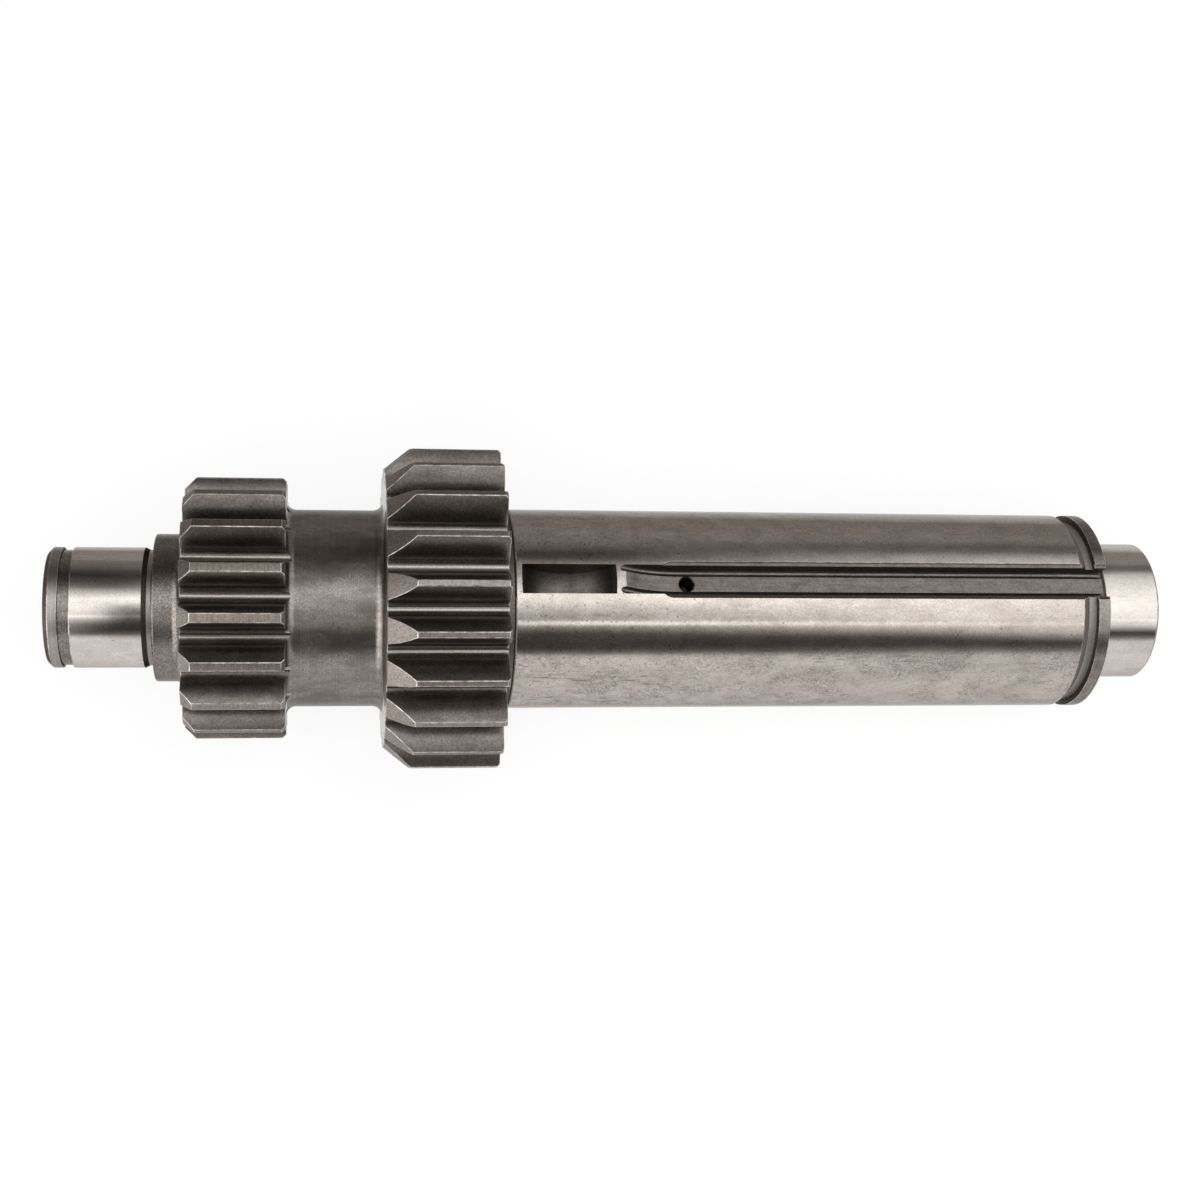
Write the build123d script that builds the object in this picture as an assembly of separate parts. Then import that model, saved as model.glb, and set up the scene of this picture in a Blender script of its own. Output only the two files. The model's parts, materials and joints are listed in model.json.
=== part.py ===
from build123d import *
import math
import os

# All lengths are in millimetres and all angles in degrees.
# The shaft's axis is X, with the keyed end towards +X. The origin is on the axis, at the middle of the
# rear bearing seat. The lengths below follow one another along the shaft from its rear end.

# Rear end and rear bearing seat
rear_land_length = 4.4
rear_land_radius = 18.75
rear_chamfer_length = 1.5
rear_chamfer_depth = 1.6
rear_ring_groove_width = 3.2
rear_ring_groove_radius = 17.9
rear_seat_length = 21.5
rear_seat_radius = 18.85
rear_relief_width = 3.25
rear_relief_depth = 0.75
relief_ramp = 1.5
relief_round = 0.5
seat_edge = 0.3

# Rear collar, whose left face is the shoulder for the rear bearing
collar_length = 9.0
collar_radius = 23.1
collar_round = 0.7
collar_root_round = 2.9

# Small gear
small_teeth = 17
small_width = 31.15
small_tip_radius = 41.05
small_addendum = 3.225
small_dedendum = 6.45
small_root_round = 2.6
small_tip_land = 2.85
small_chamfer_length = 3.5
small_chamfer_depth = 3.5
small_back_chamfer = 1.1

# Neck between the gears
neck_length = 30.1
neck_radius = 31.15
neck_rear_round = 2.8
neck_front_round = 3.4

# Large gear
large_teeth = 21
large_width = 36.45
large_tip_radius = 51.35
large_addendum = 4.625
large_dedendum = 5.625
large_root_round = 2.0
large_tip_land = 1.8
large_chamfer_length = 8.5
large_chamfer_depth = 7.1
large_back_chamfer = 0.8

# Both gears
pressure_angle = 25.0
tooth_edge_break = 0.2
cutter_overrun = 1.0

# Seat for the loose gears
gear_relief_width = 2.95
gear_relief_depth = 0.8
seat_length = 183.1
seat_radius = 32.0

# Snap ring groove and end collar
front_groove_cone_length = 2.5
front_groove_floor_width = 2.5
front_groove_depth = 2.2
end_collar_length = 3.9
end_collar_edge = 0.2

# Front bearing seat
front_seat_length = 18.1
front_seat_radius = 22.5
front_relief_width = 3.0
front_relief_depth = 0.7
front_chamfer = 0.6

# Half-moon key seat, measured from the start of the gear seat
half_moon_centre = 16.65
half_moon_cutter_radius = 15.875
half_moon_depth = 10.0

# Long keyway, measured from the start of the gear seat
key_width = 9.525
keyway_depth = 5.4
keyway_run_out_centre = 51.5
keyway_cutter_radius = 31.5
keyway_land_width = 4.9
edge_relief_width = 11.8
edge_relief_depth = 1.1
edge_relief_centre = 49.55
pin_hole_centre = 54.3
pin_hole_radius = 2.38
pin_hole_depth = 10.0
pin_hole_chamfer = 0.3

# Lathe centres in both end faces
centre_hole_radius = 6.0
centre_pilot_radius = 2.0
centre_pilot_depth = 9.0
centre_angle = 60.0
drill_point_angle = 118.0

# Stations along the shaft
rear_seat_end = rear_seat_length / 2
rear_seat_start = -rear_seat_end
rear_groove_start = rear_seat_start - rear_ring_groove_width
rear_end = rear_groove_start - rear_land_length
collar_start = rear_seat_end + rear_relief_width
small_start = collar_start + collar_length
small_end = small_start + small_width
large_start = small_end + neck_length
large_end = large_start + large_width
seat_start = large_end + gear_relief_width
seat_end = seat_start + seat_length
groove_floor_start = seat_end + front_groove_cone_length
end_collar_start = groove_floor_start + front_groove_floor_width
end_collar_end = end_collar_start + end_collar_length
front_seat_start = end_collar_end + front_relief_width
front_end = front_seat_start + front_seat_length

# The keyway points half a large tooth away from straight up, so that two teeth stand astride the bottom.
keyway_roll = -180.0 / large_teeth


def involute(angle):
    """The involute function of an angle in radians."""
    return math.tan(angle) - angle


def space_half_angle(radius, teeth, base_radius, tip_radius, tip_land):
    """Half the angle that a tooth space covers at a radius, in radians."""
    tip_involute = involute(math.acos(base_radius / tip_radius))
    here_involute = involute(math.acos(min(1.0, base_radius / radius)))
    tooth_half_angle = tip_land / (2 * tip_radius) + tip_involute - here_involute
    return math.pi / teeth - tooth_half_angle


def tooth_space(teeth, tip_radius, addendum, dedendum, root_round, tip_land):
    """The outline of one space between two teeth, standing on the local vertical axis."""

    def place(radius, angle):
        return (radius * math.sin(angle), radius * math.cos(angle))

    pitch_radius = tip_radius - addendum
    base_radius = pitch_radius * math.cos(math.radians(pressure_angle))
    root_radius = pitch_radius - dedendum
    join_radius = root_radius + root_round
    break_radius = tip_radius - tooth_edge_break
    outer_radius = tip_radius + cutter_overrun
    join_angle, middle_angle, break_angle = (
        space_half_angle(radius, teeth, base_radius, tip_radius, tip_land)
        for radius in (join_radius, (join_radius + break_radius) / 2, break_radius)
    )
    outer_angle = break_angle + (outer_radius - break_radius) / tip_radius
    edges = [
        ThreePointArc(place(join_radius, -join_angle), (0, root_radius), place(join_radius, join_angle)),
        ThreePointArc(place(outer_radius, -outer_angle), (0, outer_radius), place(outer_radius, outer_angle)),
    ]
    for side in (-1, 1):
        low = place(join_radius, side * join_angle)
        middle = place((join_radius + break_radius) / 2, side * middle_angle)
        high = place(break_radius, side * break_angle)
        out = place(outer_radius, side * outer_angle)
        edges += [ThreePointArc(low, middle, high), Line(high, out)]
    return make_face(edges)


def tooth_spaces(outline, teeth, start, end, first_angle):
    """All the spaces of one gear, from start to end along the shaft."""
    one = extrude(Plane.YZ.offset(start) * outline, end - start, dir=(1, 0, 0))
    pitch = 360.0 / teeth
    return [Rot(first_angle + number * pitch, 0, 0) * one for number in range(teeth)]


def turned_outline():
    """Half the section of the turned blank: its corners as (along, radius), and how round each one is."""
    rear_relief_radius = rear_seat_radius - rear_relief_depth
    gear_relief_radius = seat_radius - gear_relief_depth
    groove_radius = seat_radius - front_groove_depth
    front_relief_radius = front_seat_radius - front_relief_depth
    sharp = 0.0
    corners = [
        (rear_end, 0, sharp),
        (rear_end, rear_land_radius - rear_chamfer_depth, sharp),
        (rear_end + rear_chamfer_length, rear_land_radius, sharp),
        (rear_groove_start, rear_land_radius, sharp),
        (rear_groove_start, rear_ring_groove_radius, sharp),
        (rear_seat_start, rear_ring_groove_radius, sharp),
        (rear_seat_start, rear_seat_radius - seat_edge, sharp),
        (rear_seat_start + seat_edge, rear_seat_radius, sharp),
        (rear_seat_end, rear_seat_radius, sharp),
        (rear_seat_end + relief_ramp, rear_relief_radius, sharp),
        (collar_start, rear_relief_radius, relief_round),
        (collar_start, collar_radius, collar_round),
        (small_start, collar_radius, collar_root_round),
        (small_start, small_tip_radius - small_chamfer_depth, sharp),
        (small_start + small_chamfer_length, small_tip_radius, sharp),
        (small_end - small_back_chamfer, small_tip_radius, sharp),
        (small_end, small_tip_radius - small_back_chamfer, sharp),
        (small_end, neck_radius, neck_rear_round),
        (large_start, neck_radius, neck_front_round),
        (large_start, large_tip_radius - large_chamfer_depth, sharp),
        (large_start + large_chamfer_length, large_tip_radius, sharp),
        (large_end - large_back_chamfer, large_tip_radius, sharp),
        (large_end, large_tip_radius - large_back_chamfer, sharp),
        (large_end, gear_relief_radius, relief_round),
        (seat_start - seat_edge, gear_relief_radius, sharp),
        (seat_start, seat_radius - seat_edge, sharp),
        (seat_start + seat_edge, seat_radius, sharp),
        (seat_end, seat_radius, sharp),
        (groove_floor_start, groove_radius, sharp),
        (end_collar_start, groove_radius, sharp),
        (end_collar_start, seat_radius, sharp),
        (end_collar_end - end_collar_edge, seat_radius, sharp),
        (end_collar_end, seat_radius - end_collar_edge, sharp),
        (end_collar_end, front_relief_radius, relief_round),
        (front_seat_start - front_relief_depth, front_relief_radius, sharp),
        (front_seat_start, front_seat_radius, sharp),
        (front_end - front_chamfer, front_seat_radius, sharp),
        (front_end, front_seat_radius - front_chamfer, sharp),
        (front_end, 0, sharp),
    ]
    outline = make_face(Polyline(*[(along, radius) for along, radius, _ in corners], close=True))
    for along, radius, rounding in corners:
        if rounding > 0:
            corner = outline.vertices().sort_by_distance((along, radius, 0))[0]
            outline = fillet(corner, rounding)
    return outline


def turned_blank():
    """The shaft as it leaves the lathe, with both gears still plain rings."""
    return revolve(Plane.XZ * turned_outline(), Axis.X)


def centre_hole(face, inward):
    """A lathe centre in an end face: a cone that ends in a small drilled pilot."""
    cone_depth = (centre_hole_radius - centre_pilot_radius) / math.tan(math.radians(centre_angle / 2))
    point_depth = centre_pilot_radius / math.tan(math.radians(drill_point_angle / 2))
    half_section = Polyline(
        (face - inward * cutter_overrun, 0),
        (face - inward * cutter_overrun, centre_hole_radius),
        (face, centre_hole_radius),
        (face + inward * cone_depth, centre_pilot_radius),
        (face + inward * (cone_depth + centre_pilot_depth), centre_pilot_radius),
        (face + inward * (cone_depth + centre_pilot_depth + point_depth), 0),
        close=True,
    )
    return revolve(Plane.XZ * make_face(half_section), Axis.X)


def half_moon_seat():
    """The space that a disc cutter leaves for the half-moon key, above the start of the gear seat."""
    centre_height = seat_radius - half_moon_depth + half_moon_cutter_radius
    disc = Cylinder(half_moon_cutter_radius, key_width, rotation=(90, 0, 0))
    return Pos(seat_start + half_moon_centre, 0, centre_height) * disc


def keyway_section(floor, top):
    """The keyway across the shaft: upright walls, a flat land, and a round groove along each bottom corner."""
    half_width = key_width / 2
    half_land = keyway_land_width / 2
    groove_radius = (half_width - half_land) / 2
    groove_middle = half_land + groove_radius
    return make_face(
        [
            Line((-half_land, floor), (half_land, floor)),
            ThreePointArc((half_land, floor), (groove_middle, floor - groove_radius), (half_width, floor)),
            Line((half_width, floor), (half_width, top)),
            Line((half_width, top), (-half_width, top)),
            Line((-half_width, top), (-half_width, floor)),
            ThreePointArc((-half_width, floor), (-groove_middle, floor - groove_radius), (-half_land, floor)),
        ]
    )


def keyway():
    """The long keyway, which runs out at its rear end in the curve of the disc cutter and is open in front."""
    floor = seat_radius - keyway_depth
    groove_radius = (key_width - keyway_land_width) / 4
    cutter_height = floor + keyway_cutter_radius - groove_radius
    run_out = seat_start + keyway_run_out_centre
    length = end_collar_end + cutter_overrun - run_out
    section = Plane.YZ.offset(run_out) * keyway_section(floor, cutter_height)
    straight = extrude(section, length, dir=(1, 0, 0))
    cutter_axis = Axis((run_out, 0, cutter_height), (0, 1, 0))
    curved = revolve(section, cutter_axis, 90)
    return straight + curved


def edge_relief():
    """The wide shallow step along both top edges of the keyway, with the round end of its cutter."""
    half_width = edge_relief_width / 2
    start = seat_start + edge_relief_centre
    length = end_collar_end + cutter_overrun - start
    floor = seat_radius - edge_relief_depth
    height = edge_relief_depth + cutter_overrun
    step = Pos(start + length / 2, 0, floor + height / 2) * Box(length, edge_relief_width, height)
    end = Pos(start, 0, floor + height / 2) * Cylinder(half_width, height)
    return step + end


def pin_hole():
    """The drilled hole in the keyway's floor for the pin that keeps the key in place."""
    floor = seat_radius - keyway_depth
    point_depth = pin_hole_radius / math.tan(math.radians(drill_point_angle / 2))
    half_section = Polyline(
        (0, floor - pin_hole_depth - point_depth),
        (pin_hole_radius, floor - pin_hole_depth),
        (pin_hole_radius, floor - pin_hole_chamfer),
        (pin_hole_radius + pin_hole_chamfer, floor),
        (pin_hole_radius + pin_hole_chamfer, floor + pin_hole_chamfer),
        (0, floor + pin_hole_chamfer),
        close=True,
    )
    hole = revolve(Plane.XZ * make_face(half_section), Axis.Z)
    return Pos(seat_start + pin_hole_centre, 0, 0) * hole


def countershaft():
    """The whole shaft: the turned blank with its teeth, key seats and centres cut, turned to its resting roll."""
    small_space = tooth_space(
        small_teeth, small_tip_radius, small_addendum, small_dedendum, small_root_round, small_tip_land
    )
    large_space = tooth_space(
        large_teeth, large_tip_radius, large_addendum, large_dedendum, large_root_round, large_tip_land
    )
    small_run_out = small_end + neck_rear_round + cutter_overrun
    half_small_pitch = 180.0 / small_teeth
    cuts = tooth_spaces(
        small_space, small_teeth, small_start - cutter_overrun, small_run_out, half_small_pitch
    )
    cuts += tooth_spaces(
        large_space, large_teeth, large_start - cutter_overrun, large_end + cutter_overrun, 0.0
    )
    cuts += [half_moon_seat(), keyway(), edge_relief(), pin_hole()]
    cuts += [centre_hole(rear_end, 1), centre_hole(front_end, -1)]
    shaft = turned_blank()
    shaft = shaft.cut(*cuts)
    return Rot(keyway_roll, 0, 0) * shaft


os.makedirs("parts", exist_ok=True)
export_step(countershaft(), "parts/countershaft.step")
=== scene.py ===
import json
import math

import bmesh
import bpy
from mathutils import Matrix, Vector

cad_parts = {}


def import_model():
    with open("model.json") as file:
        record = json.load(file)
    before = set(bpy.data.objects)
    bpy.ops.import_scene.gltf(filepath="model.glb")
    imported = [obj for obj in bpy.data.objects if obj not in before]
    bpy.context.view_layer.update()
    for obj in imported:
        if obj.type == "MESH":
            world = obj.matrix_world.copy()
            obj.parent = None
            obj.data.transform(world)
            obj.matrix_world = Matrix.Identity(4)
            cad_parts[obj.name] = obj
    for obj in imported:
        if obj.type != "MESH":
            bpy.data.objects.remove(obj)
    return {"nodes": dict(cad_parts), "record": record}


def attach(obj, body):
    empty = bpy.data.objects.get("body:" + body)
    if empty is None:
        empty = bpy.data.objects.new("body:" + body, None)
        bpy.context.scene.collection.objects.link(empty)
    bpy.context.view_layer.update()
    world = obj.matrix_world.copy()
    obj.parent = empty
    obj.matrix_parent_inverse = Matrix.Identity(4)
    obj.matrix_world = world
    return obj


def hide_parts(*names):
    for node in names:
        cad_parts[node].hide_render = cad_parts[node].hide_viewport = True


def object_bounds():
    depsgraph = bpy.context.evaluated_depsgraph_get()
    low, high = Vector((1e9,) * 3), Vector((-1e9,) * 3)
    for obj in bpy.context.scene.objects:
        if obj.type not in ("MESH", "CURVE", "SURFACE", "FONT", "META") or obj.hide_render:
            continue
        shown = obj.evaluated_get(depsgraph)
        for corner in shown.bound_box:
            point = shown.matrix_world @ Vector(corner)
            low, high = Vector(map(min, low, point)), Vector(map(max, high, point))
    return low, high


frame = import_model()
cad_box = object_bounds()

# All lengths are in metres. The shaft's axis is X and up is Z, as in the CAD model.
MM = 0.001
MICRON = 0.000001
mounts = {mount["name"]: mount for mount in frame["record"]["mounts"]}
rear_end = cad_box[0].x
front_end = cad_box[1].x

# Sizes and places of the shaft's stretches
rear_seat_half = 10.75 * MM
rear_groove_width = 3.2 * MM
rear_groove_start = -rear_seat_half - rear_groove_width
rear_relief_ramp = 1.5 * MM
rear_relief_floor_start = rear_seat_half + rear_relief_ramp
rear_relief_floor_end = 13.3 * MM
collar_start = mounts["rear_bearing_shoulder"]["pos_m"][0]
small_gear_middle = mounts["small_gear"]["pos_m"][0]
small_gear_width = 31.15 * MM
small_tip_radius = 41.05 * MM
large_gear_middle = mounts["large_gear"]["pos_m"][0]
large_gear_width = 36.45 * MM
large_tip_radius = 51.35 * MM
large_teeth = 21
end_chamfer = 1.55 * MM
centre_hole_radius = 6.2 * MM
seat_radius = mounts["gear_seat"]["dims"]["r_mm"] * MM
seat_start = 123.65 * MM
seat_end = 306.75 * MM
end_collar_start = 311.75 * MM
end_collar_end = mounts["front_bearing_shoulder"]["pos_m"][0]
end_collar_rim_start = end_collar_end - 0.4 * MM
front_seat_start = 318.65 * MM
small_start = small_gear_middle - small_gear_width / 2
small_end = small_gear_middle + small_gear_width / 2
large_start = large_gear_middle - large_gear_width / 2
large_end = large_gear_middle + large_gear_width / 2

# The key slots: the way that they face, the way across them, and their sizes
slot_up = Vector(mounts["half_moon_seat"]["axis"])
slot_across = slot_up.cross(Vector((1, 0, 0)))
slot_lean = math.atan2(slot_up.y, slot_up.z)
slot_half_width = 5.95 * MM
key_half_width = 5.2 * MM
slot_lowest = 21.5 * MM
edge_step_height = 30.5 * MM
edge_step_start = 166.0 * MM
pin_hole_place = mounts["pin_hole"]["pos_m"][0]
pin_hole_reach = 2.9 * MM
pin_hole_top = 26.55 * MM

# How the round faces are finished: where each stretch ends, from the rear to the front, and its finish
round_stretches = [
    # Painted shade: the rear end chamfer and, further on, the narrow recesses beside the seats take the dark
    # recess finish.
    (rear_end + end_chamfer, "shaded_recess"),
    (rear_groove_start, "bright"),
    (-rear_seat_half, "turned"),
    (rear_seat_half, "journal"),
    # Painted shade: the ramp and the wall of the rear relief take the near-black step finish.
    (rear_relief_floor_start, "stained"),
    (rear_relief_floor_end, "bright"),
    (collar_start, "stained"),
    (large_end, "turned"),
    (seat_start, "shaded_recess"),
    (seat_end, "seat"),
    (end_collar_start, "dull"),
    (end_collar_rim_start, "turned"),
    # Partly a painted highlight: the end collar's narrow rim takes the lighter worn-edge finish.
    (end_collar_end, "edge"),
    (front_seat_start, "shaded_recess"),
    (math.inf, "journal"),
]

# Within the width of a gear, faces further in than this belong to what is beside it.
small_inner_radius = 24 * MM
large_inner_radius = 32 * MM

# How far below the tips the teeth's tops and tip edges lie at most, and their roots at least
land_depth = 0.3 * MM
tip_edge_depth = 0.25 * MM
root_depth = 9.5 * MM

# How near a face has to be to a place to count as there
place_slack = 0.1 * MM
seat_slack = 0.4 * MM

# How much of a face's normal has to lie one way, from 0 to 1, for the face to look that way
squarely = 0.97
mostly = 0.9
halfway = 0.5
partly = 0.3
hardly = 0.2

# Points of the CAD mesh that are nearer than this are one, and a smaller bend than this counts as flat.
same_place = 0.002 * MM
flat_bend = math.radians(0.4)

# A face is round if less than this share of its normal lies round the axis.
round_face_limit = 0.03

# Edges that bend by more than this are worn round and catch the light. The collars' rims and the places where
# the small gear's tooth spaces run out into the neck are too fine for it.
sharp_edge_angle = math.radians(38)
edge_width = 0.16 * MM
rear_rim_reach = 0.8 * MM
front_rim_start = end_collar_end - 0.5 * MM
front_rim_end = front_seat_start - 0.5 * MM
run_out_start = small_end - 0.3 * MM
run_out_end = large_start - 5 * MM
run_out_radius = 35.5 * MM

# How many of the tool's lines a metre holds on ground faces, turned faces and the tops of the teeth
ground_lines = 3000
turned_lines = 2600
land_lines = 3200

# The share of the light that plain and clean metal gives back at a grazing angle, and the lower share of the
# finishes that paint shade into recesses and onto the keyway's near step
plain_grazing = 0.65
clean_grazing = 1.0
shaded_grazing = 0.35

# Colours of the stains, the grain and the marks that several finishes share
stain_brown = (0.25, 0.215, 0.19)
grain_grey = (0.2, 0.18, 0.16)
dark_grain = (0.12, 0.105, 0.095)
turned_stain = (0.11, 0.094, 0.082)
mark_dark = (0.1, 0.09, 0.08)

# Between these places the turned faces go from the collar's speckle to the neck's stains.
collar_look_end = 20 * MM
neck_look_start = 50 * MM

# Camera, whose sensor is measured in millimetres
picture_size = 1200
focal_pixels = 1822.78
camera_station = 63.588 * MM
camera_distance = 585.352 * MM
camera_elevation = math.radians(81.527)
camera_turn = math.radians(8.822)
camera_roll = math.radians(-0.171)
camera_pitch = math.radians(-0.280)
sensor_width = 36.0
nearest_seen = 0.05
farthest_seen = 50.0

# The tent of light round the shaft: its size, how many degrees its sides come down from straight up, and how
# many steps its arch has
tent_radius = 2.0
tent_reach = 12.0
tent_lowest = 102.0
tent_steps = 90

# The tent's stripes reach this many degrees from straight up each way. Each stretch starts with its place
# along the shaft, in metres. A stripe is given by how many degrees it lies from straight up towards -Y, and
# by how bright it is, where plain white is 1. Between two stretches, the stripes of the one blend into those
# of the other.
stripe_reach = 90.0
tent_stripes = [
    (-5.0, [
        (-90, 0.05), (-60, 0.08), (-48, 0.16), (-25, 0.70),
        (0, 1.05), (40, 1.25), (60, 1.15), (90, 0.95),
    ]),
    (-2.8, [
        (-90, 0.20), (-60, 0.10), (-40, 0.30), (-22, 2.10), (0, 2.90), (40, 2.70), (90, 1.90),
    ]),
    (-1.0, [
        (-90, 0.20), (-60, 0.10), (-40, 0.30), (-22, 2.10), (0, 3.00), (40, 2.80), (90, 1.90),
    ]),
    (-0.2, [
        (-90, 0.27), (-80, 0.21), (-71, 0.15), (-63, 0.08), (-55, 0.03), (-47, 0.07), (-38, 0.12),
        (-30, 0.22), (-23, 0.65), (-15, 1.15), (-8, 1.75), (-2, 1.62), (8, 1.68), (16, 1.40),
        (22, 1.30), (24, 1.85), (26, 1.72), (28, 1.15), (33, 0.61), (40, 0.20), (48, 0.09),
        (56, 0.07), (60, 0.18), (65, 0.75), (71, 1.08), (90, 0.97),
    ]),
    (-0.13, [
        (-90, 0.25), (-71, 0.18), (-63, 0.10), (-50, 0.07), (-38, 0.13), (-30, 0.24), (-23, 0.60),
        (-15, 1.15), (-8, 1.70), (-2, 1.45), (4, 0.80), (10, 0.36), (18, 0.12), (30, 0.06),
        (40, 0.05), (52, 0.05), (60, 0.20), (65, 0.60), (71, 0.98), (90, 0.97),
    ]),
    (0.45, [
        (-90, 0.38), (-80, 0.34), (-72, 0.30), (-64, 0.19), (-57, 0.09), (-50, 0.15), (-46, 0.38),
        (-30, 0.90), (-12, 2.00), (-7, 2.08), (0, 1.88), (8, 1.34), (16, 0.88), (22, 0.88),
        (23, 2.10), (26, 2.10), (27, 0.70), (31, 0.36), (36, 0.13), (48, 0.09), (55, 0.10),
        (60, 0.30), (64, 1.02), (72, 1.24), (90, 1.08),
    ]),
    (0.95, [
        (-90, 0.38), (-80, 0.34), (-72, 0.19), (-64, 0.28), (-55, 0.74), (-47, 1.00),
        (-20, 1.50), (-8, 1.92), (0, 1.90), (12, 1.66), (22, 1.40), (23, 1.80),
        (26, 1.80), (27, 1.20), (33, 0.66), (40, 0.15), (46, 0.10), (51, 0.12),
        (57, 0.30), (63, 0.82), (72, 0.92), (90, 0.88),
    ]),
    (1.15, [
        (-90, 0.38), (-80, 0.34), (-72, 0.19), (-64, 0.24), (-55, 0.80), (-47, 1.08),
        (-20, 1.55), (-8, 1.85), (0, 1.80), (12, 1.62), (22, 1.38), (23, 1.60),
        (26, 1.60), (27, 1.38), (33, 1.15), (40, 0.52), (46, 0.10), (51, 0.12),
        (57, 0.34), (63, 0.90), (72, 0.98), (90, 0.92),
    ]),
]

# No stripe is brighter than this, and those dimmer than a fifth of that are a little warm.
tent_brightest = 3.0
dim_stripe_tint = (1.0, 0.92, 0.85)
tinted_below = 0.2

# The white sheet: how far it reaches, how clear it lies of the teeth, and how white its paper is. Part of its
# white needs no light: this share near the shaft, and all of it far off.
sheet_reach = 6.0
sheet_clearance = 0.1 * MM
paper_white = 0.9
plain_white_near = 0.86
sheet_near = 0.35
sheet_far = 0.9

# The grey table top past the sheet, on the +Y side: where it starts, how bright it is beside the shaft and
# behind its rear end, and between which places it changes
table_width = 3.0
table_reach = 8.0
table_lift = 0.5 * MM
table_edge_near = 60 * MM
table_edge_far = 118 * MM
table_tint = (1.04, 0.97, 0.91)
table_grey = 0.35
table_grey_behind = 0.05
table_change_start = -0.75
table_change_end = -0.45

# The light of the room and of the lamp over the shaft
room_light = 0.6
lamp_place = (0.1, -0.3, 1.5)
lamp_size = (1.5, 1.0)
lamp_power = 20.0

# The numbers of the inputs and the result of a node that mixes two colours
mix_share = 0
mix_first = 6
mix_second = 7
mix_result = 2


def add(tree, kind, inputs=None, **settings):
    """Adds a node. An input is a plain value or another node's output."""
    made = tree.nodes.new(kind)
    for name, value in settings.items():
        setattr(made, name, value)
    for name, value in (inputs or {}).items():
        if isinstance(value, bpy.types.NodeSocket):
            tree.links.new(value, made.inputs[name])
        else:
            made.inputs[name].default_value = value
    return made


def maths(tree, operation, first, second=0.0):
    """A calculation with one or two values."""
    made = add(tree, "ShaderNodeMath", {0: first, 1: second}, operation=operation)
    return made.outputs[0]


def ramp(tree, factor, stops):
    """A smooth change between greys or colours at places from 0 to 1."""
    made = add(tree, "ShaderNodeValToRGB", {"Fac": factor})
    elements = made.color_ramp.elements
    while len(elements) < len(stops):
        elements.new(0.5)
    for element, (place, value) in zip(elements, stops):
        element.position = place
        element.color = (value, value, value, 1) if isinstance(value, float) else (*value, 1)
    return made.outputs["Color"]


def opaque(colour):
    """A plain colour gets its fourth value, full cover. Another node's output stays as it is."""
    return colour if isinstance(colour, bpy.types.NodeSocket) else (*colour, 1)


def blend(tree, share, first, second):
    """Goes from the first colour to the second as the share goes from 0 to 1."""
    inputs = {mix_share: share, mix_first: opaque(first), mix_second: opaque(second)}
    return add(tree, "ShaderNodeMix", inputs, data_type="RGBA").outputs[mix_result]


def between(tree, value, low, high, first=0.0, second=1.0):
    """Goes from the first value to the second as the given one goes from low to high."""
    inputs = {"Value": value, "From Min": low, "From Max": high, "To Min": first, "To Max": second}
    return add(tree, "ShaderNodeMapRange", inputs).outputs["Result"]


def overlaid(tree, colour, pattern, low, high, most, over):
    """Lays a second colour over the first, by up to the given share as the pattern goes from low to high."""
    return blend(tree, between(tree, pattern, low, high, 0.0, most), colour, over)


def places(tree):
    """Places on the object, in metres."""
    return add(tree, "ShaderNodeTexCoord").outputs["Object"]


def split_places(tree):
    """X, Y and Z of the places on the object."""
    return add(tree, "ShaderNodeSeparateXYZ", {"Vector": places(tree)}).outputs


def scaled(tree, where, scale):
    """The places, stretched by a scale for each way."""
    return add(tree, "ShaderNodeMapping", {"Vector": where, "Scale": scale}).outputs["Vector"]


def glow(tree, colour, strength):
    """A surface that gives light."""
    return add(tree, "ShaderNodeEmission", {"Color": colour, "Strength": strength}).outputs[0]


def noise(tree, where, scale, detail=3.0, roughness=0.5, distortion=0.0):
    """Soft noise from 0 to 1, whose features are about 1/scale metres long each way."""
    inputs = {
        "Vector": scaled(tree, where, scale),
        "Scale": 1.0,
        "Detail": detail,
        "Roughness": roughness,
        "Distortion": distortion,
    }
    return add(tree, "ShaderNodeTexNoise", inputs).outputs["Fac"]


def speckle(tree, size=0.55 * MM):
    """Fine even speckle."""
    return noise(tree, places(tree), (1 / size, 1 / size, 1 / size), detail=2.0)


def turning_lines(tree, per_metre=turned_lines):
    """Fine lines round the axis, as a lathe or a grinding wheel leaves them on round and flat faces."""
    split = split_places(tree)
    squares = [maths(tree, "MULTIPLY", split[name], split[name]) for name in ("Y", "Z")]
    radius = maths(tree, "SQRT", maths(tree, "ADD", squares[0], squares[1]))
    around = add(tree, "ShaderNodeCombineXYZ", {"X": split["X"], "Y": radius, "Z": split["Y"]})
    return noise(tree, around.outputs["Vector"], (per_metre, per_metre, 25), detail=2.0)


def cutting_lines(tree):
    """Fine lines along the key slots, as the milling cutter leaves them on flat and hollow floors."""
    turned = {"Vector": places(tree), "Angle": slot_lean}
    where = add(tree, "ShaderNodeVectorRotate", turned, rotation_type="X_AXIS").outputs["Vector"]
    return noise(tree, where, (60, 1500, 60), detail=2.0)


def lengthwise_lines(tree):
    """Fine lines along the shaft."""
    return noise(tree, places(tree), (40, 1800, 1800), detail=2.0)


def clouds(tree):
    """Large soft stains, longer along the shaft than round it."""
    return noise(tree, places(tree), (70, 150, 150), detail=5.0, roughness=0.6)


def blotches(tree):
    """Uneven patches of a few millimetres."""
    return noise(tree, places(tree), (260, 330, 330), detail=4.0, roughness=0.7, distortion=0.6)


def etched_threads(tree):
    """Thin crooked dark marks of a few millimetres, in patches."""
    field = noise(tree, places(tree), (380, 560, 560), detail=3.0, roughness=0.6, distortion=1.4)
    off_line = maths(tree, "ABSOLUTE", maths(tree, "SUBTRACT", field, 0.5))
    thread = between(tree, off_line, 0.012, 0.045, 1.0, 0.0)
    patch = between(tree, noise(tree, places(tree), (90, 130, 130)), 0.43, 0.55)
    return maths(tree, "MULTIPLY", thread, patch)


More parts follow.
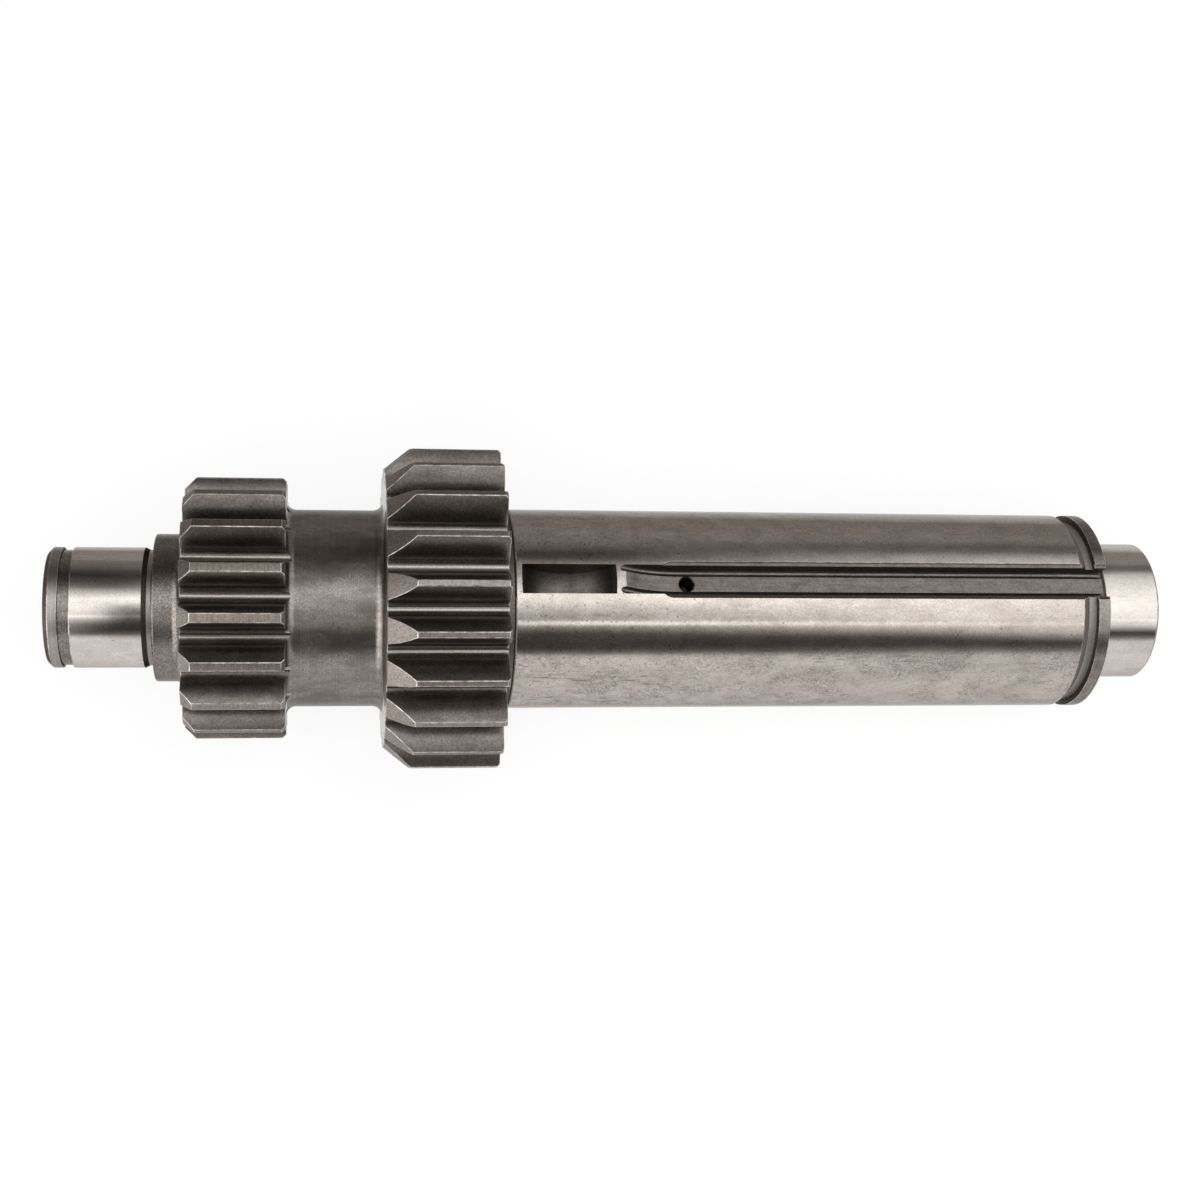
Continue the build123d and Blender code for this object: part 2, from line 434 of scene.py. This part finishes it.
def short_scratches(tree):
    """Short dark scratches along the shaft, in patches."""
    stroke = between(tree, noise(tree, places(tree), (150, 1150, 1150), distortion=0.3), 0.58, 0.66)
    patch = between(tree, noise(tree, places(tree), (45, 85, 85)), 0.46, 0.56)
    return maths(tree, "MULTIPLY", stroke, patch)


def pits(tree, common):
    """Small dark pits, in the given share of the cells."""
    where = scaled(tree, places(tree), (560, 560, 560))
    cells = add(tree, "ShaderNodeTexVoronoi", {"Vector": where, "Scale": 1.0}).outputs
    spot = between(tree, cells["Distance"], 0.10, 0.24, 1.0, 0.0)
    chosen = maths(tree, "LESS_THAN", cells["Color"], common)
    return maths(tree, "MULTIPLY", spot, chosen)


def new_material(name):
    """An empty material, and its tree of nodes."""
    material = bpy.data.materials.new(name)
    material.use_nodes = True
    material.node_tree.nodes.clear()
    return material, material.node_tree


def steel(tree, colour, roughness, relief, depth, grazing=plain_grazing, metallic=1.0):
    """The metal shader. The relief goes from 0 to 1 and is as deep as the depth, in metres."""
    bump = add(tree, "ShaderNodeBump", {"Height": relief, "Distance": depth, "Strength": 1.0})
    inputs = {
        "Metallic": metallic,
        "Base Color": colour,
        "Roughness": roughness,
        "Normal": bump.outputs["Normal"],
        "Specular Tint": (grazing, grazing, grazing, 1),
    }
    shader = add(tree, "ShaderNodeBsdfPrincipled", inputs)
    add(tree, "ShaderNodeOutputMaterial", {"Surface": shader.outputs["BSDF"]})


def journal_steel():
    """The bright ground bearing seats."""
    material, tree = new_material("journal_steel")
    stain = clouds(tree)
    colour = ramp(tree, stain, [(0.35, (0.60, 0.547, 0.505)), (0.65, (0.70, 0.648, 0.605))])
    colour = overlaid(tree, colour, blotches(tree), 0.40, 0.70, most=0.18, over=stain_brown)
    colour = overlaid(tree, colour, speckle(tree, 0.45 * MM), 0.35, 0.75, most=0.28, over=grain_grey)
    colour = blend(tree, maths(tree, "MULTIPLY", pits(tree, 0.12), 0.5), colour, mark_dark)
    colour = blend(tree, maths(tree, "MULTIPLY", short_scratches(tree), 0.2), colour, mark_dark)
    roughness = between(tree, stain, 0.3, 0.7, 0.07, 0.12)
    steel(tree, colour, roughness=roughness, relief=turning_lines(tree, ground_lines), depth=1 * MICRON)
    return material


def seat_steel():
    """The long ground seat, a little stained, with pits near the gear and marks on its lower side."""
    material, tree = new_material("seat_steel")
    split = split_places(tree)
    stain_share = between(tree, split["X"], 200 * MM, 290 * MM, 0.44, 0.20)
    pitted_cells = between(tree, split["X"], 150 * MM, 185 * MM, 0.75, 0.18)
    lower_side = between(tree, split["Z"], 24 * MM, 30 * MM, 0.60, 0.25)
    near_side = between(tree, split["Y"], -10 * MM, 6 * MM, 1.0, 0.5)
    stain = clouds(tree)
    colour = ramp(tree, stain, [(0.35, (0.49, 0.438, 0.396)), (0.65, (0.61, 0.555, 0.508))])
    stained = maths(tree, "MULTIPLY", between(tree, blotches(tree), 0.40, 0.70), stain_share)
    colour = blend(tree, stained, colour, stain_brown)
    colour = overlaid(tree, colour, speckle(tree, 0.45 * MM), 0.35, 0.75, most=0.50, over=grain_grey)
    marks = maths(tree, "MAXIMUM", etched_threads(tree), short_scratches(tree))
    marks = maths(tree, "MULTIPLY", marks, lower_side)
    marks = maths(tree, "MULTIPLY", marks, near_side)
    colour = blend(tree, marks, colour, (0.12, 0.10, 0.09))
    colour = blend(tree, maths(tree, "MULTIPLY", pits(tree, pitted_cells), 0.65), colour, mark_dark)
    roughness = between(tree, stain, 0.3, 0.7, 0.08, 0.13)
    steel(tree, colour, roughness=roughness, relief=turning_lines(tree, ground_lines), depth=1 * MICRON)
    return material


def turned_steel():
    """The dull turned collars, neck and rear groove: speckled, stained, and faintly lined by the tool."""
    material, tree = new_material("turned_steel")
    along = split_places(tree)["X"]
    grain_share = between(tree, along, collar_look_end, neck_look_start, 0.85, 0.52)
    stain_share = between(tree, along, collar_look_end, neck_look_start, 0.25, 0.60)
    lines = turning_lines(tree)
    grain = speckle(tree, 0.5 * MM)
    colour = ramp(tree, lines, [(0.3, (0.27, 0.241, 0.221)), (0.7, (0.34, 0.307, 0.283))])
    speckled = maths(tree, "MULTIPLY", between(tree, grain, 0.35, 0.65), grain_share)
    colour = blend(tree, speckled, colour, (0.11, 0.096, 0.086))
    stained = maths(tree, "MULTIPLY", between(tree, clouds(tree), 0.45, 0.62), stain_share)
    colour = blend(tree, stained, colour, turned_stain)
    colour = overlaid(tree, colour, blotches(tree), 0.42, 0.70, most=0.35, over=turned_stain)
    height = maths(tree, "ADD", maths(tree, "MULTIPLY", lines, 0.4), grain)
    steel(tree, colour, roughness=0.26, relief=height, depth=7 * MICRON)
    return material


def dull_steel():
    """The matt sloped groove at the front."""
    material, tree = new_material("dull_steel")
    lines = turning_lines(tree)
    colour = ramp(tree, lines, [(0.3, (0.19, 0.168, 0.150)), (0.7, (0.32, 0.288, 0.262))])
    colour = overlaid(tree, colour, speckle(tree), 0.35, 0.70, most=0.35, over=dark_grain)
    steel(tree, colour, roughness=0.42, relief=lines, depth=3 * MICRON, metallic=0.65)
    return material


def bright_turned():
    """The rear land, the floor of the relief beside the rear seat, and the centre holes."""
    material, tree = new_material("bright_turned")
    lines = turning_lines(tree)
    colour = ramp(tree, lines, [(0.3, (0.27, 0.248, 0.23)), (0.7, (0.38, 0.353, 0.33))])
    colour = overlaid(tree, colour, speckle(tree), 0.35, 0.70, most=0.30, over=dark_grain)
    steel(tree, colour, roughness=0.32, relief=lines, depth=3 * MICRON)
    return material


def painted_recess_shade():
    """Painted shade: the walls of the slots and the pin hole, the end chamfers, and the narrow recesses
    beside the seats are coloured dark, and give back less light at a grazing angle.
    """
    material, tree = new_material("painted_recess_shade")
    colour = ramp(tree, speckle(tree), [(0.35, (0.115, 0.10, 0.088)), (0.7, (0.18, 0.16, 0.143))])
    steel(tree, colour, roughness=0.42, relief=turning_lines(tree), depth=2 * MICRON, grazing=shaded_grazing)
    return material


def tooth_flank():
    """The dark sides of the teeth and the spaces between them, stained brown in places."""
    material, tree = new_material("tooth_flank")
    stain = clouds(tree)
    colour = ramp(tree, stain, [(0.3, (0.165, 0.143, 0.126)), (0.7, (0.27, 0.245, 0.224))])
    colour = overlaid(tree, colour, blotches(tree), 0.45, 0.70, most=0.35, over=(0.07, 0.058, 0.049))
    colour = overlaid(tree, colour, speckle(tree), 0.35, 0.70, most=0.55, over=(0.05, 0.045, 0.04))
    steel(tree, colour, roughness=0.31, relief=lengthwise_lines(tree), depth=0.6 * MICRON)
    return material


def tooth_root_highlight():
    """The hollow at the bottom of each tooth space, coloured lighter than the flanks: a painted highlight
    along each root.
    """
    material, tree = new_material("tooth_root_highlight")
    colour = ramp(tree, speckle(tree), [(0.35, (0.38, 0.348, 0.32)), (0.7, (0.27, 0.245, 0.225))])
    steel(tree, colour, roughness=0.11, relief=lengthwise_lines(tree), depth=0.4 * MICRON)
    return material


def tooth_land():
    """The turned tops of the teeth."""
    material, tree = new_material("tooth_land")
    lines = turning_lines(tree, land_lines)
    colour = ramp(tree, lines, [(0.35, (0.24, 0.207, 0.183)), (0.65, (0.34, 0.295, 0.262))])
    colour = overlaid(tree, colour, speckle(tree), 0.35, 0.70, most=0.55, over=(0.11, 0.091, 0.077))
    steel(tree, colour, roughness=0.32, relief=lines, depth=1.2 * MICRON)
    return material


def tooth_facet():
    """The speckled chamfers on the rear ends of the teeth."""
    material, tree = new_material("tooth_facet")
    grain = speckle(tree, 0.5 * MM)
    colour = ramp(tree, grain, [(0.35, (0.22, 0.190, 0.168)), (0.65, (0.40, 0.350, 0.313))])
    colour = overlaid(tree, colour, blotches(tree), 0.40, 0.70, most=0.30, over=grain_grey)
    steel(tree, colour, roughness=0.34, relief=grain, depth=6 * MICRON)
    return material


def gear_side():
    """The ground sides of the gears and collars, and the end faces."""
    material, tree = new_material("gear_side")
    lines = turning_lines(tree)
    colour = ramp(tree, lines, [(0.35, (0.46, 0.43, 0.40)), (0.65, (0.60, 0.565, 0.535))])
    colour = overlaid(tree, colour, speckle(tree), 0.35, 0.70, most=0.25, over=grain_grey)
    steel(tree, colour, roughness=0.28, relief=lines, depth=2 * MICRON, grazing=clean_grazing)
    return material


def milled_steel():
    """The floors of the key slots, with the cutter's marks along them."""
    material, tree = new_material("milled_steel")
    marks = cutting_lines(tree)
    colour = ramp(tree, marks, [(0.3, (0.112, 0.098, 0.088)), (0.7, (0.178, 0.159, 0.144))])
    colour = overlaid(tree, colour, speckle(tree, 0.5 * MM), 0.40, 0.65, most=0.60, over=(0.24, 0.216, 0.196))
    colour = overlaid(tree, colour, blotches(tree), 0.42, 0.68, most=0.45, over=(0.06, 0.051, 0.044))
    steel(tree, colour, roughness=0.32, relief=marks, depth=2.5 * MICRON)
    return material


def painted_step_shade():
    """Painted shade: the step along the near edge of the keyway and the walls of the rear relief are coloured
    near black, with a brown cast.
    """
    material, tree = new_material("painted_step_shade")
    colour = ramp(tree, speckle(tree), [(0.35, (0.034, 0.027, 0.022)), (0.7, (0.055, 0.046, 0.039))])
    lines = lengthwise_lines(tree)
    steel(tree, colour, roughness=0.42, relief=lines, depth=1 * MICRON, grazing=shaded_grazing)
    return material


def worn_edge_highlight():
    """The broken edges, rubbed bright in places, and lighter than most faces beside them: partly wear, partly
    a painted highlight along the edges.
    """
    material, tree = new_material("worn_edge_highlight")
    wear = noise(tree, places(tree), (450, 450, 450), detail=4.0, roughness=0.7)
    colour = ramp(tree, wear, [(0.35, (0.22, 0.20, 0.183)), (0.65, (0.66, 0.62, 0.585))])
    steel(tree, colour, roughness=0.3, relief=wear, depth=3 * MICRON)
    return material


finishes = {
    "journal": journal_steel,
    "seat": seat_steel,
    "turned": turned_steel,
    "dull": dull_steel,
    "bright": bright_turned,
    # Painted shade: this finish is dark for the recesses, walls, end chamfers and pin hole.
    "shaded_recess": painted_recess_shade,
    "flank": tooth_flank,
    # Painted highlight: the roots are lighter than the flanks.
    "root": tooth_root_highlight,
    "land": tooth_land,
    "facet": tooth_facet,
    "side": gear_side,
    "milled": milled_steel,
    # Painted shade: this finish is near black for the keyway's near step and the rear relief's walls.
    "stained": painted_step_shade,
    # Partly wear, partly a painted highlight along the edges.
    "edge": worn_edge_highlight,
}
finish_number = {name: number for number, name in enumerate(finishes)}


def gear_finish(radius, along, outward, tip_radius):
    """The finish of a face of a gear from how far out it lies and how it faces."""
    if outward > squarely and radius > tip_radius - land_depth:
        return "land"
    # Partly a painted highlight: the tip edges of the teeth take the lighter worn-edge finish.
    if radius > tip_radius - tip_edge_depth and abs(along) < hardly:
        return "edge"
    if abs(along) > mostly:
        return "side"
    if outward > partly and along < -partly:
        return "facet"
    if abs(along) > partly:
        return "turned"
    # Painted highlight: the roots take a lighter colour than the flanks.
    if outward > mostly and radius < tip_radius - root_depth:
        return "root"
    return "flank"


def slot_finish(x, across, height, facing):
    """The finish of a face of the key slots from its place in them and how far it faces out of them."""
    # Painted shade: walls that face little out of the slots take the dark recess finish.
    if facing < halfway:
        return "shaded_recess"
    if height < edge_step_height or x < edge_step_start:
        return "milled"
    # Painted shade: the step on the near edge takes the near-black finish, while the far edge's step stays
    # milled.
    return "milled" if across > 0 else "stained"


def upright_finish(x):
    """The finish of a face that is square to the axis: in the rear grooves and the front one the dark recess
    finish, which paints shade there, and elsewhere the side finish.
    """
    in_rear_grooves = rear_groove_start - place_slack < x < rear_relief_floor_start
    in_front_groove = seat_end < x < end_collar_start + place_slack
    return "shaded_recess" if in_rear_grooves or in_front_groove else "side"


def finish_of(centre, normal):
    """The finish of a face of the shaft from its place and how it faces."""
    x = centre.x
    radial = Vector((0, centre.y, centre.z))
    radius = radial.length
    outward = normal.dot(radial.normalized())
    if small_start - place_slack < x < small_end + place_slack and radius > small_inner_radius:
        return gear_finish(radius, normal.x, outward, small_tip_radius)
    if large_start - place_slack < x < large_end + place_slack and radius > large_inner_radius:
        return gear_finish(radius, normal.x, outward, large_tip_radius)
    across = centre.dot(slot_across)
    height = centre.dot(slot_up)
    # Painted shade: the inside of the pin hole takes the dark recess finish.
    if math.hypot(x - pin_hole_place, across) < pin_hole_reach and 0 < height < pin_hole_top:
        return "shaded_recess"
    if radius < centre_hole_radius and abs(normal.x) < mostly:
        return "bright"
    on_seat = outward > squarely and radius > seat_radius - seat_slack
    in_slots = abs(across) < slot_half_width and height > slot_lowest and abs(normal.x) < mostly
    if seat_start < x < end_collar_end and in_slots and not on_seat:
        return slot_finish(x, across, height, normal.dot(slot_up))
    if abs(normal.x) > mostly:
        return upright_finish(x)
    # Painted shade: the front end chamfer takes the dark recess finish.
    if x > front_end - end_chamfer and normal.x > partly:
        return "shaded_recess"
    return next(name for stretch_end, name in round_stretches if x < stretch_end)


def joined_faces(source):
    """The CAD mesh with its flat triangles joined into whole faces, each with its finish."""
    shape = bmesh.new()
    shape.from_mesh(source.data)
    bmesh.ops.remove_doubles(shape, verts=shape.verts, dist=same_place)
    bmesh.ops.dissolve_limit(shape, angle_limit=flat_bend, verts=shape.verts, edges=shape.edges)
    for face in shape.faces:
        face.smooth = True
        face.material_index = finish_number[finish_of(face.calc_center_median(), face.normal)]
    return shape


def is_fine(place):
    """Whether a place is on the collars' small rims, or where the small gear's tooth spaces run out."""
    on_rear_rim = abs(place.x - collar_start) < rear_rim_reach
    on_front_rim = front_rim_start < place.x < front_rim_end
    past_small_gear = run_out_start < place.x < run_out_end
    in_run_out = past_small_gear and math.hypot(place.y, place.z) < run_out_radius
    return on_rear_rim or on_front_rim or in_run_out


def is_worn(edge):
    """Whether an edge is sharp and points outwards, outside the key slots and the finest places."""
    if not edge.is_manifold or not edge.is_convex or edge.calc_face_angle(0.0) < sharp_edge_angle:
        return False
    middle = (edge.verts[0].co + edge.verts[1].co) / 2
    if is_fine(middle):
        return False
    in_slots = abs(middle.dot(slot_across)) < key_half_width and middle.dot(slot_up) > slot_lowest
    return not in_slots or not seat_start < middle.x < end_collar_end


def round_edges(shape):
    """Rounds the sharp outside edges a little, in the lighter worn-edge finish, which is partly wear and
    partly a painted highlight.
    """
    shape.normal_update()
    made = bmesh.ops.bevel(
        shape,
        geom=[edge for edge in shape.edges if is_worn(edge)],
        offset=edge_width,
        offset_type="OFFSET",
        segments=2,
        profile=0.5,
        affect="EDGES",
        clamp_overlap=False,
        material=finish_number["edge"],
        loop_slide=True,
    )
    for face in made["faces"]:
        face.smooth = True


def way_round(place):
    """The direction round the axis at a place."""
    return Vector((0, -place.z, place.y)).normalized()


def shade(mesh):
    """Smooth shading in which wide faces decide, and round faces point straight out from the axis."""
    faces_at = [[] for _ in mesh.vertices]
    for face in mesh.polygons:
        for vertex in face.vertices:
            faces_at[vertex].append(face)
    smooth_limit = math.cos(sharp_edge_angle)
    milled = finish_number["milled"]
    normals = []
    for face in mesh.polygons:
        looks_round = abs(face.normal.dot(way_round(face.center))) < round_face_limit
        is_round = looks_round and face.material_index != milled
        for vertex in face.vertices:
            near = [other for other in faces_at[vertex] if other.normal.dot(face.normal) > smooth_limit]
            normal = sum((other.normal * other.area for other in near), Vector())
            if is_round:
                round_way = way_round(mesh.vertices[vertex].co)
                normal -= round_way * normal.dot(round_way)
            normals.append(normal.normalized())
    mesh.normals_split_custom_set(normals)


def dressed_shaft():
    """The shaft as it is seen, made from the CAD mesh."""
    source = frame["nodes"]["countershaft"]
    shape = joined_faces(source)
    round_edges(shape)
    mesh = bpy.data.meshes.new("countershaft_dressed")
    shape.to_mesh(mesh)
    shape.free()
    for make in finishes.values():
        mesh.materials.append(make())
    shade(mesh)
    piece = bpy.data.objects.new("countershaft_dressed", mesh)
    bpy.context.scene.collection.objects.link(piece)
    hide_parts("countershaft")
    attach(piece, "root")


def camera():
    """The photograph's view, from above and a little from the side."""
    data = bpy.data.cameras.new("camera")
    data.sensor_width = sensor_width
    data.lens = focal_pixels / picture_size * sensor_width
    data.clip_start = nearest_seen
    data.clip_end = farthest_seen
    outward = Vector((0, -math.cos(camera_elevation), math.sin(camera_elevation)))
    along = Vector((1, 0, 0))
    forward = -outward * math.cos(camera_turn) + along * math.sin(camera_turn)
    up = Vector((0, math.sin(camera_elevation), math.cos(camera_elevation)))
    right = forward.cross(up)
    rolled_right = right * math.cos(camera_roll) - up * math.sin(camera_roll)
    rolled_up = up * math.cos(camera_roll) + right * math.sin(camera_roll)
    final_forward = forward * math.cos(camera_pitch) - rolled_up * math.sin(camera_pitch)
    final_up = rolled_up * math.cos(camera_pitch) + forward * math.sin(camera_pitch)
    placed = Matrix((rolled_right, final_up, -final_forward)).transposed().to_4x4()
    placed.translation = along * camera_station + outward * camera_distance
    seen = bpy.data.objects.new("camera", data)
    seen.matrix_world = placed
    bpy.context.scene.collection.objects.link(seen)
    bpy.context.scene.camera = seen


def floor_lie():
    """How steep the floor lies in the shaft's frame, and how low it is under the large gear's front side."""
    half_pitch = math.pi / large_teeth
    gear_low = -large_tip_radius * math.cos(half_pitch) - sheet_clearance
    collar_low = -seat_radius
    return math.atan2(collar_low - gear_low, end_collar_end - large_end), gear_low


def flat_piece(name, reach, near, far, lift):
    """A flat piece that lies as the floor does, given by its reach, its two long sides and its lift."""
    slope, gear_low = floor_lie()
    corners = [(-reach, near, 0), (reach, near, 0), (reach, far, 0), (-reach, far, 0)]
    mesh = bpy.data.meshes.new(name)
    mesh.from_pydata(corners, [], [(0, 1, 2, 3)])
    piece = bpy.data.objects.new(name, mesh)
    piece.rotation_euler = (0, -slope, 0)
    piece.location = (large_end, 0, gear_low + lift)
    bpy.context.scene.collection.objects.link(piece)
    return piece


def floor():
    """A white sheet that touches the two lowest teeth of the large gear and the rim of the end collar."""
    sheet = flat_piece("floor", sheet_reach, -sheet_reach, sheet_reach, 0.0)
    material, tree = new_material("white_sheet")
    paper_colour = (paper_white, paper_white, paper_white, 1)
    paper = add(tree, "ShaderNodeBsdfDiffuse", {"Color": paper_colour}).outputs[0]
    white = glow(tree, (1, 1, 1, 1), 1.0)
    distance = add(tree, "ShaderNodeVectorMath", {0: places(tree)}, operation="LENGTH").outputs["Value"]
    plain = between(tree, distance, sheet_near, sheet_far, plain_white_near, 1.0)
    share = maths(tree, "MULTIPLY", seen_directly(tree), plain)
    mixed = add(tree, "ShaderNodeMixShader", {0: share, 1: paper, 2: white}).outputs[0]
    add(tree, "ShaderNodeOutputMaterial", {"Surface": mixed})
    sheet.data.materials.append(material)


def seen_directly(tree):
    """1 for what the camera sees, also in metal or through glass, and 0 for the light that it gives."""
    path = add(tree, "ShaderNodeLightPath").outputs
    both = maths(tree, "MAXIMUM", path["Is Camera Ray"], path["Is Glossy Ray"])
    return maths(tree, "MAXIMUM", both, path["Is Transmission Ray"])


def world():
    """The white room. It looks plain white and gives less light than that."""
    made = bpy.data.worlds.new("white_room")
    made.use_nodes = True
    tree = made.node_tree
    tree.nodes.clear()
    soft = add(tree, "ShaderNodeBackground", {"Color": (1, 1, 1, 1), "Strength": room_light}).outputs[0]
    white = add(tree, "ShaderNodeBackground", {"Color": (1, 1, 1, 1), "Strength": 1.0}).outputs[0]
    mixed = add(tree, "ShaderNodeMixShader", {0: seen_directly(tree), 1: soft, 2: white}).outputs[0]
    add(tree, "ShaderNodeOutputWorld", {"Surface": mixed})
    bpy.context.scene.world = made


def only_in_metal(thing):
    """Hides a stage piece from everything but reflections."""
    thing.visible_camera = False
    thing.visible_diffuse = False
    thing.visible_shadow = False


def tent_mesh():
    """The tunnel's arch between its two ends, and the flat walls that close them."""
    points = []
    for end in (-tent_reach, tent_reach):
        for step in range(tent_steps + 1):
            angle = math.radians(tent_lowest * (2 * step / tent_steps - 1))
            points.append((end, -tent_radius * math.sin(angle), tent_radius * math.cos(angle)))
    arch = tent_steps + 1
    faces = [(step, step + 1, arch + step + 1, arch + step) for step in range(tent_steps)]
    faces.append(range(arch))
    faces.append(range(arch, 2 * arch))
    mesh = bpy.data.meshes.new("light_tent")
    mesh.from_pydata(points, [], faces)
    return mesh


def stretch_brightness(tree, place, stripes):
    """The brightness of one stretch of stripes, as a share of the brightest."""
    stops = []
    for degrees, brightness in stripes:
        stops.append(((degrees + stripe_reach) / (2 * stripe_reach), brightness / tent_brightest))
    return ramp(tree, place, stops)


def tent_brightness(tree):
    """The brightness of the whole tent, where each stretch blends into the next one along the shaft."""
    split = split_places(tree)
    angle = maths(tree, "ARCTAN2", maths(tree, "MULTIPLY", split["Y"], -1.0), split["Z"])
    place = between(tree, angle, -math.radians(stripe_reach), math.radians(stripe_reach))
    station, stripes = tent_stripes[0]
    brightness = stretch_brightness(tree, place, stripes)
    for next_station, stripes in tent_stripes[1:]:
        share = between(tree, split["X"], station, next_station)
        brightness = blend(tree, share, brightness, stretch_brightness(tree, place, stripes))
        station = next_station
    return brightness


def light_tent():
    """A tunnel with closed ends over the shaft, whose light and dark stripes the metal reflects."""
    mesh = tent_mesh()
    tent = bpy.data.objects.new("light_tent", mesh)
    bpy.context.scene.collection.objects.link(tent)
    only_in_metal(tent)
    material, tree = new_material("light_tent")
    brightness = tent_brightness(tree)
    colour = blend(tree, between(tree, brightness, 0.0, tinted_below), dim_stripe_tint, (1, 1, 1))
    strength = maths(tree, "MULTIPLY", brightness, tent_brightest)
    add(tree, "ShaderNodeOutputMaterial", {"Surface": glow(tree, colour, strength)})
    mesh.materials.append(material)


def table_top():
    """The grey table top past the sheet's far edge, darker behind the rear end. Only the metal shows it."""
    top = flat_piece("table_top", table_reach, 0.0, table_width, table_lift)
    only_in_metal(top)
    material, tree = new_material("table_top")
    split = split_places(tree)
    strength = between(tree, split["X"], table_change_start, table_change_end, table_grey_behind, table_grey)
    grey = glow(tree, opaque(table_tint), strength)
    clear = add(tree, "ShaderNodeBsdfTransparent").outputs[0]
    share = between(tree, split["Y"], table_edge_near, table_edge_far)
    mixed = add(tree, "ShaderNodeMixShader", {0: share, 1: clear, 2: grey}).outputs[0]
    add(tree, "ShaderNodeOutputMaterial", {"Surface": mixed})
    top.data.materials.append(material)


def top_lamp():
    """A soft lamp over the shaft, which neither the camera nor the metal shows."""
    data = bpy.data.lights.new("top_lamp", "AREA")
    data.shape = "RECTANGLE"
    data.size, data.size_y = lamp_size
    data.energy = lamp_power
    made = bpy.data.objects.new("top_lamp", data)
    made.location = lamp_place
    made.rotation_mode = "QUATERNION"
    made.rotation_quaternion = Vector(lamp_place).to_track_quat("Z", "Y")
    made.visible_camera = False
    made.visible_glossy = False
    bpy.context.scene.collection.objects.link(made)


bpy.context.scene.view_settings.view_transform = "Standard"
camera()
dressed_shaft()
floor()
world()
light_tent()
table_top()
top_lamp()
